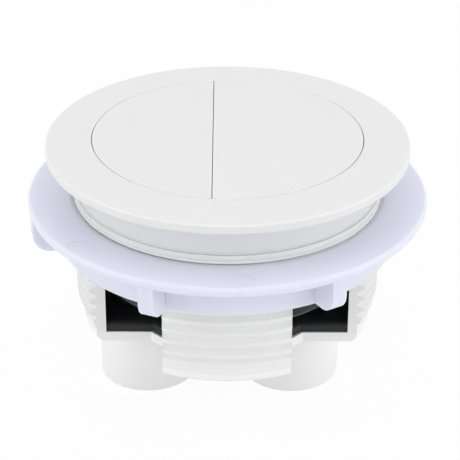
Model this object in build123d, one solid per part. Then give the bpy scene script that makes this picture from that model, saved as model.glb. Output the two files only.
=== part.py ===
from build123d import *
import os

# Dual flush push button actuator for a cistern lid, in millimetres.
# +Z is up, the two guide tubes stand on z = 0 and the trim ring's axis is the Z axis.
# The half flush button is the smaller one, on the -X side of the split line.

# Overall height, from the feet of the guide tubes to the button faces
TOTAL_HEIGHT = 50.0

# Barrel and its interrupted screw thread
THREAD_DIAMETER = 57.0
THREAD_DEPTH = 1.2
THREAD_PITCH = 2.31
THREAD_CREST = 0.3
THREAD_BASE = 1.75
THREAD_START_ANGLE = 160.0
THREAD_LEAD_IN = 3.4
LEAD_IN_TAPER = 3.7
BARREL_WALL = 1.5
WINDOW_DROP = 14.0
FRONT_ARM_WIDTH = 23.2
SIDE_ARM_WIDTH = 25.4
CORNER_WEB = 2.5

# Base with its guide tubes
FLOOR = 1.9
BASE_CHAMFER = 0.9
TUBE_LENGTH = 13.6
TUBE_DIAMETER = 18.4
TUBE_WALL = 1.1
TUBE_ROUND = 0.4
HALF_TUBE_SETBACK = 10.6
FULL_TUBE_SETBACK = 13.5
SHELF = 1.5
SHELF_DEPTH = 4.0

# Trim ring
RIM_OVERHANG = 5.0
RIM_EDGE = 1.9
RIM_LAND = 1.2
RIM_TOP_ROUND = 0.3
OPENING_ROUND = 0.2
RIM_LOW_ROUND = 0.7
FACE_FALL = 0.8
LIP = 3.2
SKIRT_DEPTH = 9.4
SKIRT_WALL = 1.0
SKIRT_STEP = 0.5
SKIRT_BEAD = 0.2
SKIRT_GROOVE = 0.15
SWEEP_HEIGHT = 5.0
SNAP_BEAD = 0.35
SNAP_DROP = 6.5

# Buttons, the plungers that carry them and the plungers' stems
SPLIT_OFFSET = 2.7
BUTTON_GAP = 0.1
BUTTON_PLATE = 1.6
BUTTON_WALL = 1.2
BUTTON_DEPTH = 8.0
BUTTON_ROUND = 0.2
TRAVEL = 6.0
PLUNGER_FLOOR = 1.5
PLUNGER_WALL = 1.2
PLUNGER_ROUND = 1.1
STEM_FLANGE = 1.5
SLEEVE_WALL = 0.9
SLEEVE_LENGTH = 11.5
STEM_DIAMETER = 7.6
ROD_BORE = 5.2
ROD_BORE_DEPTH = 12.0
SNAP_HOOK = 0.7
SNAP_HOOK_HEIGHT = 1.6
SNAP_SLOT = 0.9
SNAP_SLOT_HEIGHT = 5.0

# Guide insert on the base's floor
INSERT_PLATE = 1.8
INSERT_ROUND = 1.2
SPIGOT_WALL = 0.8
SPIGOT_LENGTH = 3.0

# Return springs
SPRING_WIRE = 0.9
SPRING_TURNS = 5
WIRE_SIDES = 8

# Lock nut
NUT_DROP = 11.0
NUT_HEIGHT = 8.4
NUT_FLANGE = 1.8
NUT_FLANGE_REACH = 8.2
NUT_COLLAR_WALL = 2.6
NUT_CHAMFER = 0.3
NUT_EDGE_ROUND = 0.7
LUG_WIDTH = 2.8
LUG_INSET = 0.2
LUG_ROUND = 3.4
LUG_ANGLES = (-77.0, -22.5, 32.0)
EJECTOR_DIAMETER = 4.0
EJECTOR_DEPTH = 0.12

# Clearances
SEAT_CLEARANCE = 0.05
RUNNING_CLEARANCE = 0.08
MOVING_CLEARANCE = 0.3
BUTTON_CLEARANCE = 0.12
BARREL_CLEARANCE = 0.8
STOP_CLEARANCE = 0.4
LATCH_CLEARANCE = 0.15

# Radii that follow from the driving sizes
crest_r = THREAD_DIAMETER / 2
root_r = crest_r - THREAD_DEPTH
bore_r = root_r - BARREL_WALL
opening_r = bore_r - BARREL_CLEARANCE
skirt_r = crest_r - SKIRT_STEP
skirt_bore_r = skirt_r - SKIRT_WALL
neck_r = skirt_bore_r - SEAT_CLEARANCE
rim_r = crest_r + RIM_OVERHANG
button_r = opening_r - BUTTON_CLEARANCE
plunger_r = opening_r - BUTTON_CLEARANCE - MOVING_CLEARANCE
tube_r = TUBE_DIAMETER / 2
tube_bore_r = tube_r - TUBE_WALL
spigot_r = tube_bore_r - SEAT_CLEARANCE
sleeve_r = spigot_r - SPIGOT_WALL - MOVING_CLEARANCE
sleeve_bore_r = sleeve_r - SLEEVE_WALL
stem_r = STEM_DIAMETER / 2
spring_r = (sleeve_bore_r + stem_r) / 2 + SPRING_WIRE / 4
nut_bore_r = crest_r + MOVING_CLEARANCE
collar_r = nut_bore_r + NUT_COLLAR_WALL
flange_r = nut_bore_r + NUT_FLANGE_REACH

# Places along X; each side of the split line is -1 for the half flush and 1 for the full flush
split_x = -SPLIT_OFFSET
tube_x = {-1: HALF_TUBE_SETBACK - bore_r, 1: bore_r - FULL_TUBE_SETBACK}

# Heights that follow from the driving sizes
top_z = TOTAL_HEIGHT
floor_z = TUBE_LENGTH
sill_z = floor_z + FLOOR
insert_z = sill_z + INSERT_PLATE
plunger_z = insert_z + TRAVEL + STOP_CLEARANCE
button_low_z = top_z - BUTTON_DEPTH
button_seat_z = top_z - BUTTON_PLATE
rim_top_z = top_z - FACE_FALL
rim_low_z = rim_top_z - RIM_EDGE
lip_z = top_z - LIP
skirt_low_z = top_z - SKIRT_DEPTH
shoulder_z = skirt_low_z - SEAT_CLEARANCE
window_top_z = top_z - WINDOW_DROP
thread_low_z = floor_z + THREAD_LEAD_IN
shelf_low_z = SHELF_DEPTH
shelf_top_z = shelf_low_z + SHELF
sleeve_low_z = plunger_z - SLEEVE_LENGTH
spring_top_z = plunger_z - STEM_FLANGE
hook_top_z = shelf_low_z - LATCH_CLEARANCE
stem_low_z = hook_top_z - SNAP_HOOK_HEIGHT
nut_top_z = top_z - NUT_DROP
nut_low_z = nut_top_z - NUT_HEIGHT
flange_low_z = nut_top_z - NUT_FLANGE

BASE = (Align.CENTER, Align.CENTER, Align.MIN)
MATCH = 0.01


def disc(radius, low, high, x=0.0):
    """Upright cylinder between two heights."""
    return Pos(x, 0, low) * Cylinder(radius, high - low, align=BASE)


def turned(*corners):
    """Solid of revolution from the (radius, height) corners of half its section."""
    return revolve(Plane.XZ * make_face(Polyline(*corners, close=True)), Axis.Z)


def edges_at(solid, radius, height):
    """Circular edges of one radius at one height."""
    rings = solid.edges().filter_by(GeomType.CIRCLE)
    return [e for e in rings if abs(e.radius - radius) < MATCH and abs(e.center().Z - height) < MATCH]


def corner_at(section, radius, height):
    """Corner of a flat half section at one radius and height."""
    return [v for v in section.vertices() if abs(v.X - radius) < MATCH and abs(v.Y - height) < MATCH]


def d_plan(radius, side, inset):
    """Disc cut off beside the split line; side picks the half flush or the full flush end."""
    reach = 3 * radius
    keep = Pos(split_x + side * (inset + reach / 2), 0) * Rectangle(reach, reach)
    return Circle(radius) & keep


def d_block(radius, side, inset, low, high):
    """Upright block on a D shaped plan."""
    return Pos(0, 0, low) * extrude(d_plan(radius, side, inset), high - low)


def bezel_ring():
    """Trim ring: domed face, thin rim and a trumpet shaped, beaded skirt that snaps over the barrel's neck."""
    land_r = rim_r - RIM_LAND
    sweep_z = rim_low_z - SWEEP_HEIGHT
    snap_z = top_z - SNAP_DROP
    groove = SNAP_BEAD + SEAT_CLEARANCE
    bead_z = skirt_low_z + SKIRT_BEAD
    face = TangentArc((opening_r, top_z), (rim_r, rim_top_z), tangent=(1, 0))
    edge = Polyline((rim_r, rim_top_z), (rim_r, rim_low_z), (land_r, rim_low_z))
    sweep_arc = TangentArc((skirt_r, sweep_z), (land_r, rim_low_z), tangent=(0, 1))
    inside = Polyline(
        (skirt_r, sweep_z),
        (skirt_r, bead_z + 2 * SKIRT_GROOVE),
        (skirt_r - SKIRT_GROOVE, bead_z + SKIRT_GROOVE),
        (skirt_r, bead_z),
        (skirt_r, skirt_low_z),
        (skirt_bore_r, skirt_low_z),
        (skirt_bore_r, snap_z - groove),
        (skirt_bore_r + groove, snap_z),
        (skirt_bore_r, snap_z + groove),
        (skirt_bore_r, lip_z),
        (opening_r, lip_z),
        (opening_r, top_z),
    )
    section = make_face(Curve() + [face, edge, sweep_arc, inside])
    section = fillet(corner_at(section, opening_r, top_z), OPENING_ROUND)
    section = fillet(corner_at(section, rim_r, rim_low_z), RIM_LOW_ROUND)
    section = fillet(corner_at(section, rim_r, rim_top_z), RIM_TOP_ROUND)
    return revolve(Plane.XZ * section, Axis.Z)


def thread_ridge():
    """Right-hand ridge that winds up the barrel and runs out at the shoulder under the trim ring's skirt."""
    sink = BARREL_WALL / 4
    half_base = THREAD_BASE / 2
    half_crest = THREAD_CREST / 2
    half_sunk = half_base + (half_base - half_crest) * sink / THREAD_DEPTH
    section = Polyline(
        (root_r - sink, -half_sunk),
        (crest_r, -half_crest),
        (crest_r, half_crest),
        (root_r - sink, half_sunk),
        close=True,
    )
    path = Helix(THREAD_PITCH, shoulder_z - thread_low_z, root_r)
    ridge = sweep(Plane.XZ * make_face(section), path=path, is_frenet=True)
    ridge = Pos(0, 0, thread_low_z) * Rot(0, 0, THREAD_START_ANGLE) * ridge
    return ridge & disc(crest_r + THREAD_DEPTH, floor_z, shoulder_z)


def lead_in_cut():
    """Cone that tapers the first turns of the thread; it runs out past the crests."""
    taper_low_z = thread_low_z - THREAD_BASE / 2
    reach_r = crest_r + THREAD_DEPTH
    reach_z = taper_low_z + 2 * LEAD_IN_TAPER
    return turned((root_r + SEAT_CLEARANCE, taper_low_z), (reach_r, reach_z), (reach_r, taper_low_z))


def corner_window(side_x, side_y):
    """Block that opens one corner of the barrel and leaves an arm on each side of it."""
    reach = THREAD_DIAMETER
    x = side_x * (FRONT_ARM_WIDTH + reach) / 2
    y = side_y * (SIDE_ARM_WIDTH + reach) / 2
    return Pos(x, y, floor_z) * Box(reach, reach, window_top_z - floor_z, align=BASE)


def floor_plan(radius, inset):
    """Cross shaped plan of the floor, with a diagonal web across each inner corner."""
    long_way = 2 * radius
    cross = Rectangle(FRONT_ARM_WIDTH - 2 * inset, long_way) + Rectangle(long_way, SIDE_ARM_WIDTH - 2 * inset)
    corner_x = FRONT_ARM_WIDTH / 2 - inset
    corner_y = SIDE_ARM_WIDTH / 2 - inset
    for side_x in (-1, 1):
        for side_y in (-1, 1):
            inner = (side_x * corner_x, side_y * corner_y)
            along_x = (side_x * (corner_x + CORNER_WEB), side_y * corner_y)
            along_y = (side_x * corner_x, side_y * (corner_y + CORNER_WEB))
            cross += make_face(Polyline(inner, along_x, along_y, close=True))
    return cross & Circle(radius)


def guide_tube(x):
    """Tube under the floor with an inner shelf for the spring and the plunger's stem."""
    outside = fillet(edges_at(disc(tube_r, 0, floor_z), tube_r, 0), TUBE_ROUND)
    mouth = disc(tube_bore_r, 0, shelf_low_z)
    stem_hole = disc(stem_r + RUNNING_CLEARANCE, shelf_low_z, shelf_top_z)
    well = disc(tube_bore_r, shelf_top_z, floor_z)
    return Pos(x, 0, 0) * (outside - mouth - stem_hole - well)


def threaded_body():
    """Barrel with an interrupted thread: a closed neck on four arms, with a window at each corner."""
    snap_z = top_z - SNAP_DROP
    blank_z = shoulder_z + THREAD_PITCH
    # The thread is joined to a longer blank, which is then turned back to the shoulder
    body = disc(root_r, sill_z, blank_z) + thread_ridge()
    body -= disc(crest_r + THREAD_DEPTH, shoulder_z, top_z)
    body -= lead_in_cut()
    body -= disc(bore_r, sill_z, blank_z)
    body += turned(
        (bore_r, shoulder_z),
        (neck_r, shoulder_z),
        (neck_r, snap_z - SNAP_BEAD),
        (neck_r + SNAP_BEAD, snap_z),
        (neck_r, snap_z + SNAP_BEAD),
        (neck_r, lip_z),
        (bore_r, lip_z),
    )
    for side_x in (-1, 1):
        for side_y in (-1, 1):
            body -= corner_window(side_x, side_y)
    return body


def tube_base():
    """Cross shaped floor that closes the arms' feet, with two guide tubes under it."""
    base = turned(
        (0, floor_z),
        (root_r - BASE_CHAMFER, floor_z),
        (root_r, floor_z + BASE_CHAMFER),
        (root_r, sill_z),
        (0, sill_z),
    )
    base &= Pos(0, 0, floor_z) * extrude(floor_plan(crest_r, 0), FLOOR)
    for x in tube_x.values():
        base -= disc(tube_bore_r, floor_z, sill_z, x)
        base += guide_tube(x)
    return base


def guide_insert():
    """Plate on the floor with a spigot in each tube, which guides the plungers' sleeves."""
    plan = floor_plan(bore_r - SEAT_CLEARANCE, MOVING_CLEARANCE)
    insert = Pos(0, 0, sill_z) * extrude(plan, INSERT_PLATE)
    insert = fillet(insert.faces().sort_by(Axis.Z)[-1].edges(), INSERT_ROUND)
    spigot_low_z = sill_z - SPIGOT_LENGTH
    for x in tube_x.values():
        insert += disc(spigot_r, spigot_low_z, sill_z, x)
        insert -= disc(sleeve_r + MOVING_CLEARANCE, spigot_low_z, insert_z, x)
    return insert


def button(side):
    """D shaped button: a face plate with a short wall that fits over its plunger."""
    edge_inset = BUTTON_GAP / 2
    shell = d_block(button_r, side, edge_inset, button_low_z, top_z)
    shell = fillet(shell.faces().sort_by(Axis.Z)[-1].edges(), BUTTON_ROUND)
    hollow = d_block(button_r - BUTTON_WALL, side, edge_inset + BUTTON_WALL, button_low_z, button_seat_z)
    return shell - hollow


def plunger(side):
    """D shaped cup that carries a button; its stem is pressed into the hole in its floor."""
    cup_inset = BUTTON_GAP / 2 + MOVING_CLEARANCE
    spigot_inset = BUTTON_GAP / 2 + BUTTON_WALL + SEAT_CLEARANCE
    spigot_plan_r = button_r - BUTTON_WALL - SEAT_CLEARANCE
    floor_top_z = plunger_z + PLUNGER_FLOOR
    cup = d_block(plunger_r, side, cup_inset, plunger_z, button_low_z)
    cup = fillet(cup.faces().sort_by(Axis.Z)[0].edges(), PLUNGER_ROUND)
    cup += d_block(spigot_plan_r, side, spigot_inset, button_low_z, button_seat_z)
    hollow_r = spigot_plan_r - PLUNGER_WALL
    hollow_inset = spigot_inset + PLUNGER_WALL
    cup -= d_block(hollow_r, side, hollow_inset, floor_top_z, button_seat_z)
    return cup - disc(stem_r + SEAT_CLEARANCE, plunger_z, floor_top_z, tube_x[side])


def snap_stem(side):
    """Stem with a sleeve round the spring and a split, hooked end that latches under the tube's shelf."""
    stem = disc(sleeve_r, sleeve_low_z, plunger_z) - disc(sleeve_bore_r, sleeve_low_z, spring_top_z)
    stem += disc(stem_r, stem_low_z, plunger_z + PLUNGER_FLOOR)
    stem += turned(
        (0, stem_low_z),
        (stem_r, stem_low_z),
        (stem_r + SNAP_HOOK, hook_top_z - SNAP_HOOK_HEIGHT / 3),
        (stem_r + SNAP_HOOK, hook_top_z),
        (0, hook_top_z),
    )
    slot_length = STEM_DIAMETER + 4 * SNAP_HOOK
    for turn in (0, 90):
        stem -= Pos(0, 0, stem_low_z) * Rot(0, 0, turn) * Box(slot_length, SNAP_SLOT, SNAP_SLOT_HEIGHT, align=BASE)
    stem -= disc(ROD_BORE / 2, stem_low_z, stem_low_z + ROD_BORE_DEPTH)
    return Pos(tube_x[side], 0, 0) * stem


def spring(side):
    """Return spring between the tube's shelf and the stem's flange, in eight-sided wire."""
    wire_r = SPRING_WIRE / 2
    low_z = shelf_top_z + wire_r + SEAT_CLEARANCE
    high_z = spring_top_z - wire_r - SEAT_CLEARANCE
    path = Helix((high_z - low_z) / SPRING_TURNS, high_z - low_z, spring_r)
    section = Pos(spring_r, 0) * RegularPolygon(wire_r, WIRE_SIDES)
    wire = sweep(Plane.XZ * section, path=path, is_frenet=True)
    return Pos(tube_x[side], 0, low_z) * wire


def lug(angle):
    """Radial finger rib under the nut's flange, rounded at its outer lower corner."""
    outer_r = flange_r - LUG_INSET
    inner_r = (nut_bore_r + collar_r) / 2
    plate = make_face(
        Polyline(
            (inner_r, nut_low_z),
            (outer_r, nut_low_z),
            (outer_r, flange_low_z + NUT_FLANGE / 3),
            (inner_r, flange_low_z + NUT_FLANGE / 3),
            close=True,
        )
    )
    corner = plate.vertices().sort_by(Axis.X)[-2:].sort_by(Axis.Y)[0]
    rib = extrude(Plane.XZ * fillet(corner, LUG_ROUND), LUG_WIDTH / 2, both=True)
    return Rot(0, 0, angle - 90) * rib


def lock_nut():
    """Flanged nut with a deep collar and two groups of finger lugs."""
    nut = turned(
        (nut_bore_r, nut_low_z),
        (collar_r, nut_low_z),
        (collar_r, flange_low_z),
        (flange_r, flange_low_z),
        (flange_r, nut_top_z),
        (nut_bore_r + NUT_CHAMFER, nut_top_z),
        (nut_bore_r, nut_top_z - NUT_CHAMFER),
    )
    nut = fillet(edges_at(nut, flange_r, nut_top_z), NUT_EDGE_ROUND)
    nut = fillet(edges_at(nut, flange_r, flange_low_z), NUT_EDGE_ROUND)
    for angle in LUG_ANGLES:
        nut += lug(angle)
        nut += lug(angle + 180)
    mark_r = (collar_r + flange_r) / 2
    for first, second in zip(LUG_ANGLES, LUG_ANGLES[1:]):
        for turn in (0, 180):
            mark = disc(EJECTOR_DIAMETER / 2, nut_top_z - EJECTOR_DEPTH, nut_top_z, mark_r)
            nut -= Rot(0, 0, (first + second) / 2 - 90 + turn) * mark
    return nut


NODES = {
    "bezel_ring": bezel_ring(),
    "threaded_body": threaded_body(),
    "tube_base": tube_base(),
    "guide_insert": guide_insert(),
    "half_flush_button": button(-1),
    "full_flush_button": button(1),
    "half_flush_plunger": plunger(-1),
    "full_flush_plunger": plunger(1),
    "half_flush_stem": snap_stem(-1),
    "full_flush_stem": snap_stem(1),
    "half_flush_spring": spring(-1),
    "full_flush_spring": spring(1),
    "lock_nut": lock_nut(),
}

os.makedirs("parts", exist_ok=True)
for name, solid in NODES.items():
    export_step(solid, f"parts/{name}.step")
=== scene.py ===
import bpy
import math
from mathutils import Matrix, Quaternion, Vector


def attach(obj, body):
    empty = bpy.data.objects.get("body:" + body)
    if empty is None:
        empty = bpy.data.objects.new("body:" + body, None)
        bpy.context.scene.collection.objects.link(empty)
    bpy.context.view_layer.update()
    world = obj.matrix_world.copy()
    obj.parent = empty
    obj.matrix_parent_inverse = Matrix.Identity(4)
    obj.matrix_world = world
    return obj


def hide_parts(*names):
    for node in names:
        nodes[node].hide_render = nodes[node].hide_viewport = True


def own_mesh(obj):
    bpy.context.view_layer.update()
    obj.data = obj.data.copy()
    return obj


# Looks for the dual flush push button actuator, in metres and in the CAD model's frame.
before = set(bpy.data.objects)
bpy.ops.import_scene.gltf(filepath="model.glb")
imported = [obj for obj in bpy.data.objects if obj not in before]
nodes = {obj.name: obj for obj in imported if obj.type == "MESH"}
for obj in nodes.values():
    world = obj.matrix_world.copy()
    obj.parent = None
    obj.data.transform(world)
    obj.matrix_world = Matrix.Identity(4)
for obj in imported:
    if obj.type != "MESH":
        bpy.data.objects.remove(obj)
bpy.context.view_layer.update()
scene = bpy.context.scene
MM = 0.001

# Return springs: the tubes' axes, the seat on the shelf and the room under the stem's flange
SPRING_AXES = {"half_flush": -15.2 * MM, "full_flush": 12.3 * MM}
SPRING_SEAT = 5.5 * MM
SPRING_ROOM = 16.7 * MM
SPRING_END_GAP = 0.05 * MM
COIL_RADIUS = 5.15 * MM
COIL_TURNS = 7.0
COIL_STEPS = 40
WIRE_RADIUS = 0.45 * MM
WIRE_SIDES = 14

# Sections of the turned rings, as (radius, height) corners in millimetres:
# the lip at the top of the nut's bore, which runs just clear of the thread's crests,
# and the band under the trim ring's skirt, in which the thread runs out above the nut
NUT_LIP = ((28.56, 38.3), (29.06, 38.3), (29.06, 38.97), (28.56, 38.97))
SHOULDER_BAND = (
    (27.1, 39.04), (28.4, 39.04), (28.54, 39.14), (28.54, 39.26), (28.4, 39.4), (28.1, 39.5),
    (28.1, 39.8), (28.44, 39.95), (28.44, 40.46), (28.38, 40.52), (27.1, 40.52),
)
RING_SEGMENTS = 288
RING_EDGE_ANGLE = math.radians(25)

# Shading of the CAD meshes: what counts as one point, and as a real edge
MERGE_DISTANCE = 0.001 * MM
CAD_EDGE_ANGLE = math.radians(22)

# Mouldings: linear colour, depth of the clouds in it, gloss and its spread, and spark grain
TRIM_MOULDING = {
    "colour": (0.815, 0.815, 0.815), "cloudiness": 0.02,
    "roughness": 0.34, "spread": 0.08, "grain_scale": 5200.0, "grain_depth": 0.004 * MM,
}
BODY_MOULDING = {
    "colour": (0.89, 0.89, 0.885), "cloudiness": 0.03,
    "roughness": 0.38, "spread": 0.1, "grain_scale": 3800.0, "grain_depth": 0.006 * MM,
}
# The guide tubes are the body's white, painted paler here: painted light in place of the fill that
# reaches their base
TUBE_PAINTED_LIGHT_MOULDING = {**BODY_MOULDING, "colour": (0.94, 0.94, 0.935)}
NUT_MOULDING = {
    "colour": (0.77, 0.785, 0.895), "cloudiness": 0.04,
    "roughness": 0.36, "spread": 0.1, "grain_scale": 3400.0, "grain_depth": 0.006 * MM,
}
PLUNGER_MOULDING = {
    "colour": (0.03, 0.031, 0.036), "cloudiness": 0.2,
    "roughness": 0.2, "spread": 0.08, "grain_scale": 4200.0, "grain_depth": 0.004 * MM,
}
CLOUD_SCALE = 90.0
GLOSS_SCALE = 260.0
PLUNGER_SPECULAR = 0.16

# How much light the thin trim and the milky nut let in, and how deep
SCATTER_WEIGHT = 0.6
TRIM_SCATTER_DEPTH = 0.5 * MM
NUT_SCATTER_DEPTH = 1.2 * MM

# Spring wire: linear colour, how dark its draw marks are, their fineness and the gloss between them
SPRING_STEEL = (0.55, 0.55, 0.56)
DRAW_MARK_SHADE = 0.75
DRAW_MARK_SCALE = 1800.0
WIRE_ROUGHNESS = (0.22, 0.38)

# Floor under the guide tubes, and the share of plain white that the camera sees in it
FLOOR_REACH = 3.0
FLOOR_GAP = 0.1 * MM
FLOOR_PALE = (0.92, 0.92, 0.92, 1.0)
FLOOR_ROUGHNESS = 0.9
FLOOR_WHITE_SHARE = 0.94

# Strength of the room's light level with the part and from straight above
WHITE = (1.0, 1.0, 1.0, 1.0)
ROOM_HORIZON = 0.66
ROOM_ZENITH = 0.6

# Softboxes: place, height of the point on the axis that they face, width and height, and watts
SOFTBOXES = {
    "overhead_softbox": ((0.0, -0.05, 0.9), 0.04, (0.9, 0.7), 2.2),
    "front_softbox": ((0.0, -0.9, 0.12), 0.03, (0.9, 0.3), 0.3),
    "left_softbox": ((-0.8, -0.3, 0.4), 0.03, (0.5, 0.5), 1.8),
    "right_softbox": ((0.8, -0.3, 0.4), 0.03, (0.5, 0.5), 1.38),
    "low_right_softbox": ((0.9, -0.25, 0.12), 0.03, (0.6, 0.4), 0.85),
}

# Camera at the photograph's angle
CAMERA_AIM = Vector((0.51, 0.0, 30.28)) * MM
CAMERA_DISTANCE = 350.4 * MM
CAMERA_ELEVATION = math.radians(28.61)
CAMERA_AZIMUTH = math.radians(-0.16)
CAMERA_ROLL = math.radians(0.29)
CAMERA_LENS = 145.5
CAMERA_SENSOR = 36.0
CAMERA_CLIP_START = 10.0 * MM


def feed(tree, value, socket):
    """Links another node's output to a socket, or sets the socket to a plain value."""
    if isinstance(value, bpy.types.NodeSocket):
        tree.links.new(value, socket)
    else:
        socket.default_value = value


def name_sockets(tree, in_out, kind, *names):
    """Gives a node group named inputs or outputs of one kind."""
    for name in names:
        tree.interface.new_socket(name, in_out=in_out, socket_type="NodeSocket" + kind)


def maths(tree, operation, *values):
    """Math node on outputs or plain numbers."""
    node = tree.nodes.new("ShaderNodeMath")
    node.operation = operation
    for value, socket in zip(values, node.inputs):
        feed(tree, value, socket)
    return node.outputs[0]


def moulded_surface_group():
    """Shared effect of moulded plastic: a faint cloudiness, uneven gloss and fine spark grain."""
    group = bpy.data.node_groups.new("moulded_surface", "ShaderNodeTree")
    name_sockets(group, "INPUT", "Color", "Colour")
    name_sockets(group, "INPUT", "Float", "Cloudiness", "Grain Scale")
    name_sockets(group, "INPUT", "Float", "Roughness", "Roughness Spread")
    name_sockets(group, "OUTPUT", "Color", "Colour")
    name_sockets(group, "OUTPUT", "Float", "Roughness", "Grain")
    given = group.nodes.new("NodeGroupInput").outputs
    put = group.nodes.new("NodeGroupOutput").inputs
    place = group.nodes.new("ShaderNodeTexCoord").outputs["Object"]

    def noise(scale, detail):
        node = group.nodes.new("ShaderNodeTexNoise")
        feed(group, place, node.inputs["Vector"])
        feed(group, scale, node.inputs["Scale"])
        feed(group, detail, node.inputs["Detail"])
        return node.outputs["Fac"]

    clouds = maths(group, "SUBTRACT", noise(CLOUD_SCALE, 3.0), 0.5)
    tint = group.nodes.new("ShaderNodeVectorMath")
    tint.operation = "SCALE"
    feed(group, given["Colour"], tint.inputs[0])
    shade = maths(group, "MULTIPLY_ADD", clouds, given["Cloudiness"], 1.0)
    feed(group, shade, tint.inputs["Scale"])
    feed(group, tint.outputs[0], put["Colour"])

    patches = maths(group, "SUBTRACT", noise(GLOSS_SCALE, 4.0), 0.5)
    gloss = maths(group, "MULTIPLY_ADD", patches, given["Roughness Spread"], given["Roughness"])
    feed(group, gloss, put["Roughness"])

    feed(group, noise(given["Grain Scale"], 2.0), put["Grain"])
    return group


MOULDED_SURFACE = moulded_surface_group()


def moulded_plastic(name, colour, cloudiness, roughness, spread, grain_scale, grain_depth):
    """Moulded plastic from the shared surface effect, with a shader of its own."""
    material = bpy.data.materials.new(name)
    material.use_nodes = True
    tree = material.node_tree
    shader = tree.nodes["Principled BSDF"]
    surface = tree.nodes.new("ShaderNodeGroup")
    surface.node_tree = MOULDED_SURFACE
    feed(tree, (*colour, 1.0), surface.inputs["Colour"])
    feed(tree, cloudiness, surface.inputs["Cloudiness"])
    feed(tree, roughness, surface.inputs["Roughness"])
    feed(tree, spread, surface.inputs["Roughness Spread"])
    feed(tree, grain_scale, surface.inputs["Grain Scale"])
    bump = tree.nodes.new("ShaderNodeBump")
    feed(tree, 1.0, bump.inputs["Strength"])
    feed(tree, grain_depth, bump.inputs["Distance"])
    feed(tree, surface.outputs["Colour"], shader.inputs["Base Color"])
    feed(tree, surface.outputs["Roughness"], shader.inputs["Roughness"])
    feed(tree, surface.outputs["Grain"], bump.inputs["Height"])
    feed(tree, bump.outputs["Normal"], shader.inputs["Normal"])
    return material, shader


def let_light_in(shader, depth):
    """Soft glow of light that enters a pale plastic and spreads under its surface."""
    shader.inputs["Subsurface Weight"].default_value = SCATTER_WEIGHT
    shader.inputs["Subsurface Radius"].default_value = (1.0, 1.0, 1.0)
    shader.inputs["Subsurface Scale"].default_value = depth


def spring_wire():
    """Drawn spring wire: bare metal with fine draw marks."""
    material = bpy.data.materials.new("spring_steel")
    material.use_nodes = True
    tree = material.node_tree
    shader = tree.nodes["Principled BSDF"]
    shader.inputs["Metallic"].default_value = 1.0
    place = tree.nodes.new("ShaderNodeTexCoord")
    marks = tree.nodes.new("ShaderNodeTexNoise")
    feed(tree, DRAW_MARK_SCALE, marks.inputs["Scale"])
    feed(tree, 5.0, marks.inputs["Detail"])
    feed(tree, place.outputs["Object"], marks.inputs["Vector"])
    ramp = tree.nodes.new("ShaderNodeValToRGB")
    ramp.color_ramp.elements[0].color = (*[c * DRAW_MARK_SHADE for c in SPRING_STEEL], 1.0)
    ramp.color_ramp.elements[1].color = (*SPRING_STEEL, 1.0)
    feed(tree, marks.outputs["Fac"], ramp.inputs["Fac"])
    feed(tree, ramp.outputs["Color"], shader.inputs["Base Color"])
    gloss = tree.nodes.new("ShaderNodeMapRange")
    gloss.inputs["To Min"].default_value, gloss.inputs["To Max"].default_value = WIRE_ROUGHNESS
    feed(tree, marks.outputs["Fac"], gloss.inputs["Value"])
    feed(tree, gloss.outputs["Result"], shader.inputs["Roughness"])
    return material


trim_white, trim_shader = moulded_plastic("trim_white", **TRIM_MOULDING)
body_white, _ = moulded_plastic("body_white", **BODY_MOULDING)
tube_white_painted_light, _ = moulded_plastic("tube_white_painted_light", **TUBE_PAINTED_LIGHT_MOULDING)
nut_white, nut_shader = moulded_plastic("nut_white", **NUT_MOULDING)
plunger_black, plunger_shader = moulded_plastic("plunger_black", **PLUNGER_MOULDING)
spring_steel = spring_wire()
let_light_in(trim_shader, TRIM_SCATTER_DEPTH)
let_light_in(nut_shader, NUT_SCATTER_DEPTH)
plunger_shader.inputs["Specular IOR Level"].default_value = PLUNGER_SPECULAR

NODE_FINISHES = {
    "bezel_ring": trim_white,
    "half_flush_button": trim_white,
    "full_flush_button": trim_white,
    "threaded_body": body_white,
    "tube_base": tube_white_painted_light,
    "guide_insert": plunger_black,
    "half_flush_plunger": plunger_black,
    "full_flush_plunger": plunger_black,
    "half_flush_stem": plunger_black,
    "full_flush_stem": plunger_black,
    "lock_nut": nut_white,
}


def moulded_edges_tree():
    """Joins a CAD mesh's loose triangles and shades it smooth between its real edges."""
    tree = bpy.data.node_groups.new("moulded_edges", "GeometryNodeTree")
    name_sockets(tree, "INPUT", "Geometry", "Geometry")
    for name, size in (("Merge Distance", MERGE_DISTANCE), ("Edge Angle", CAD_EDGE_ANGLE)):
        socket = tree.interface.new_socket(name, in_out="INPUT", socket_type="NodeSocketFloat")
        socket.default_value = size
    name_sockets(tree, "OUTPUT", "Geometry", "Geometry")
    add = tree.nodes.new
    given = add("NodeGroupInput").outputs
    put = add("NodeGroupOutput").inputs
    plain = add("GeometryNodeRemoveAttribute")
    plain.inputs["Name"].default_value = "custom_normal"
    merge = add("GeometryNodeMergeByDistance")
    smooth = add("GeometryNodeSetShadeSmooth")
    angle = add("GeometryNodeInputMeshEdgeAngle")
    soft = add("FunctionNodeCompare")
    soft.operation = "LESS_THAN"
    crease = add("GeometryNodeSetShadeSmooth")
    crease.domain = "EDGE"
    feed(tree, given["Geometry"], plain.inputs["Geometry"])
    feed(tree, plain.outputs["Geometry"], merge.inputs["Geometry"])
    feed(tree, given["Merge Distance"], merge.inputs["Distance"])
    feed(tree, merge.outputs["Geometry"], smooth.inputs["Geometry"])
    feed(tree, angle.outputs["Unsigned Angle"], soft.inputs["A"])
    feed(tree, given["Edge Angle"], soft.inputs["B"])
    feed(tree, smooth.outputs["Geometry"], crease.inputs["Geometry"])
    feed(tree, soft.outputs["Result"], crease.inputs["Shade Smooth"])
    feed(tree, crease.outputs["Geometry"], put["Geometry"])
    return tree


def dress_cad_node(node, material, tree):
    """Gives a CAD node its finish and soft shading; its mesh stays as packed."""
    node.data.materials.clear()
    node.data.materials.append(material)
    node.modifiers.new("moulded_edges", "NODES").node_group = tree


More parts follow.
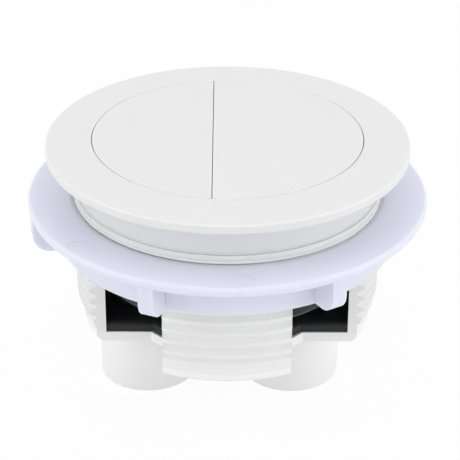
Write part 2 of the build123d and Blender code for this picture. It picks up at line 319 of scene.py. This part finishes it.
MOULDED_EDGES = moulded_edges_tree()
for node_name, finish in NODE_FINISHES.items():
    dress_cad_node(nodes[node_name], finish, MOULDED_EDGES)


def spring_tree():
    """Compression spring on a spiral path, with a dead coil at each end."""
    tree = bpy.data.node_groups.new("return_spring", "GeometryNodeTree")
    name_sockets(tree, "INPUT", "Float", "Coil Radius", "Wire Radius", "Height", "Turns")
    name_sockets(tree, "INPUT", "Vector", "Place")
    name_sockets(tree, "INPUT", "Material", "Material")
    name_sockets(tree, "OUTPUT", "Geometry", "Geometry")
    add = tree.nodes.new
    given = add("NodeGroupInput").outputs
    put = add("NodeGroupOutput").inputs

    spiral = add("GeometryNodeCurveSpiral")
    feed(tree, COIL_STEPS, spiral.inputs["Resolution"])
    feed(tree, 0.0, spiral.inputs["Height"])
    feed(tree, given["Turns"], spiral.inputs["Rotations"])
    feed(tree, given["Coil Radius"], spiral.inputs["Start Radius"])
    feed(tree, given["Coil Radius"], spiral.inputs["End Radius"])

    # Lift along the path: one wire's height over each end turn, and the rest of the room between
    along = add("GeometryNodeSplineParameter").outputs["Factor"]
    wire = maths(tree, "MULTIPLY", given["Wire Radius"], 2.0)
    one_turn = maths(tree, "DIVIDE", 1.0, given["Turns"])
    last_turn = maths(tree, "SUBTRACT", 1.0, one_turn)
    free = maths(tree, "SUBTRACT", given["Height"], maths(tree, "MULTIPLY", wire, 3.0))
    lift = given["Wire Radius"]
    rises = ((0.0, one_turn, wire), (one_turn, last_turn, free), (last_turn, 1.0, wire))
    for start, end, height in rises:
        rise = add("ShaderNodeMapRange")
        feed(tree, along, rise.inputs["Value"])
        feed(tree, start, rise.inputs["From Min"])
        feed(tree, end, rise.inputs["From Max"])
        feed(tree, height, rise.inputs["To Max"])
        lift = maths(tree, "ADD", lift, rise.outputs["Result"])
    offset = add("ShaderNodeCombineXYZ")
    feed(tree, lift, offset.inputs["Z"])
    raised = add("GeometryNodeSetPosition")
    feed(tree, spiral.outputs["Curve"], raised.inputs["Geometry"])
    feed(tree, offset.outputs["Vector"], raised.inputs["Offset"])

    section = add("GeometryNodeCurvePrimitiveCircle")
    feed(tree, WIRE_SIDES, section.inputs["Resolution"])
    feed(tree, given["Wire Radius"], section.inputs["Radius"])
    body = add("GeometryNodeCurveToMesh")
    feed(tree, True, body.inputs["Fill Caps"])
    feed(tree, raised.outputs["Geometry"], body.inputs["Curve"])
    feed(tree, section.outputs["Curve"], body.inputs["Profile Curve"])
    smooth = add("GeometryNodeSetShadeSmooth")
    feed(tree, body.outputs["Mesh"], smooth.inputs["Geometry"])
    placed = add("GeometryNodeTransform")
    feed(tree, smooth.outputs["Geometry"], placed.inputs["Geometry"])
    feed(tree, given["Place"], placed.inputs["Translation"])
    real = add("GeometryNodeRealizeInstances")
    feed(tree, placed.outputs["Geometry"], real.inputs["Geometry"])
    finished = add("GeometryNodeSetMaterial")
    feed(tree, real.outputs["Geometry"], finished.inputs["Geometry"])
    feed(tree, given["Material"], finished.inputs["Material"])
    feed(tree, finished.outputs["Geometry"], put["Geometry"])
    return tree


def piece_from_tree(name, tree, values):
    """Runs a geometry tree once and keeps its result as a plain mesh at the origin."""
    seed = bpy.data.objects.new(name + "_path", bpy.data.meshes.new(name + "_path"))
    scene.collection.objects.link(seed)
    modifier = seed.modifiers.new(tree.name, "NODES")
    modifier.node_group = tree
    for item in tree.interface.items_tree:
        if item.in_out == "INPUT" and item.name in values:
            modifier[item.identifier] = values[item.name]
    made = seed.evaluated_get(bpy.context.evaluated_depsgraph_get())
    piece = bpy.data.objects.new(name, bpy.data.meshes.new_from_object(made))
    scene.collection.objects.link(piece)
    bpy.data.objects.remove(seed)
    return piece


def turned_ring(name, section, material):
    """Ring turned about the part's axis from the (radius, height) corners of its section."""
    count = len(section)
    points = []
    faces = []
    for step in range(RING_SEGMENTS):
        angle = 2 * math.pi * step / RING_SEGMENTS
        across, along = math.cos(angle) * MM, math.sin(angle) * MM
        points += [(r * across, r * along, z * MM) for r, z in section]
        here = step * count
        there = (step + 1) % RING_SEGMENTS * count
        for a in range(count):
            b = (a + 1) % count
            faces.append((here + a, there + a, there + b, here + b))
    mesh = bpy.data.meshes.new(name)
    mesh.from_pydata(points, [], faces)
    mesh.polygons.foreach_set("use_smooth", [True] * len(mesh.polygons))
    mesh.set_sharp_from_angle(angle=RING_EDGE_ANGLE)
    mesh.materials.append(material)
    ring = bpy.data.objects.new(name, mesh)
    scene.collection.objects.link(ring)
    return ring


nut_lip = turned_ring("nut_lip", NUT_LIP, nut_white)
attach(nut_lip, "nut")
shoulder_band = turned_ring("shoulder_band", SHOULDER_BAND, body_white)
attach(shoulder_band, "housing")

SPRING_TREE = spring_tree()
for flush, axis_x in SPRING_AXES.items():
    spring = piece_from_tree(flush + "_return_spring", SPRING_TREE, {
        "Coil Radius": COIL_RADIUS,
        "Wire Radius": WIRE_RADIUS,
        "Height": SPRING_ROOM - 2 * SPRING_END_GAP,
        "Turns": COIL_TURNS,
        "Place": (axis_x, 0.0, SPRING_SEAT + SPRING_END_GAP),
        "Material": spring_steel,
    })
    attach(spring, "housing")
    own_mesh(spring)
    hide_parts(flush + "_spring")


def rays_that_see_white(tree):
    """Camera and mirror rays, which meet a white room whatever light it gives."""
    rays = tree.nodes.new("ShaderNodeLightPath").outputs
    return maths(tree, "MAXIMUM", rays["Is Camera Ray"], rays["Is Glossy Ray"])


def mix_shaders(tree, share, first, second, output):
    """Sends a share of the second shader and the rest of the first to the output."""
    mix = tree.nodes.new("ShaderNodeMixShader")
    feed(tree, share, mix.inputs["Fac"])
    feed(tree, first, mix.inputs[1])
    feed(tree, second, mix.inputs[2])
    feed(tree, mix.outputs["Shader"], tree.nodes[output].inputs["Surface"])


def floor_white():
    """Pale floor that the camera sees as white, and that still takes a faint shadow."""
    material = bpy.data.materials.new("studio_floor")
    material.use_nodes = True
    tree = material.node_tree
    pale = tree.nodes["Principled BSDF"]
    pale.inputs["Base Color"].default_value = FLOOR_PALE
    pale.inputs["Roughness"].default_value = FLOOR_ROUGHNESS
    glow = tree.nodes.new("ShaderNodeEmission")
    feed(tree, WHITE, glow.inputs["Color"])
    feed(tree, 1.0, glow.inputs["Strength"])
    share = maths(tree, "MULTIPLY", rays_that_see_white(tree), FLOOR_WHITE_SHARE)
    mix_shaders(tree, share, pale.outputs["BSDF"], glow.outputs["Emission"], "Material Output")
    return material


def studio_floor():
    """Large pale floor just under the guide tubes."""
    mesh = bpy.data.meshes.new("studio_floor")
    signs = ((-1, -1), (1, -1), (1, 1), (-1, 1))
    corners = [(x * FLOOR_REACH, y * FLOOR_REACH, 0) for x, y in signs]
    mesh.from_pydata(corners, [], [(0, 1, 2, 3)])
    mesh.materials.append(floor_white())
    floor = bpy.data.objects.new("studio_floor", mesh)
    floor.location.z = -FLOOR_GAP
    scene.collection.objects.link(floor)


def studio_world():
    """Room light, a little stronger near the horizon; the camera and reflections see it white."""
    world = bpy.data.worlds.new("studio")
    scene.world = world
    world.use_nodes = True
    tree = world.node_tree
    way = tree.nodes.new("ShaderNodeTexCoord")
    height = tree.nodes.new("ShaderNodeSeparateXYZ")
    feed(tree, way.outputs["Generated"], height.inputs[0])
    level = tree.nodes.new("ShaderNodeMapRange")
    level.interpolation_type = "SMOOTHSTEP"
    feed(tree, ROOM_HORIZON, level.inputs["To Min"])
    feed(tree, ROOM_ZENITH, level.inputs["To Max"])
    feed(tree, height.outputs["Z"], level.inputs["Value"])
    light = tree.nodes["Background"]
    feed(tree, WHITE, light.inputs["Color"])
    feed(tree, level.outputs["Result"], light.inputs["Strength"])
    white = tree.nodes.new("ShaderNodeBackground")
    feed(tree, WHITE, white.inputs["Color"])
    feed(tree, 1.0, white.inputs["Strength"])
    mix_shaders(tree, rays_that_see_white(tree), light.outputs["Background"],
                white.outputs["Background"], "World Output")


def softbox(name, place, aim_height, size, power):
    """Rectangular soft light that faces a point on the part's axis."""
    lamp = bpy.data.lights.new(name, "AREA")
    lamp.shape = "RECTANGLE"
    lamp.size, lamp.size_y = size
    lamp.energy = power
    box = bpy.data.objects.new(name, lamp)
    box.location = place
    way = Vector((0, 0, aim_height)) - Vector(place)
    box.rotation_euler = way.to_track_quat("-Z", "Y").to_euler()
    scene.collection.objects.link(box)


def photo_camera():
    """Camera at the photograph's angle and framing, with no shift."""
    lens = bpy.data.cameras.new("photo_camera")
    lens.sensor_width = CAMERA_SENSOR
    lens.lens = CAMERA_LENS
    lens.clip_start = CAMERA_CLIP_START
    camera = bpy.data.objects.new("photo_camera", lens)
    level = math.cos(CAMERA_ELEVATION)
    back = Vector((
        math.sin(CAMERA_AZIMUTH) * level,
        -math.cos(CAMERA_AZIMUTH) * level,
        math.sin(CAMERA_ELEVATION),
    ))
    camera.location = CAMERA_AIM + CAMERA_DISTANCE * back
    turn = back.to_track_quat("Z", "Y") @ Quaternion((0, 0, 1), CAMERA_ROLL)
    camera.rotation_euler = turn.to_euler()
    scene.collection.objects.link(camera)
    scene.camera = camera


studio_floor()
studio_world()
for box_name, box_values in SOFTBOXES.items():
    softbox(box_name, *box_values)
photo_camera()
scene.view_settings.view_transform = "Standard"
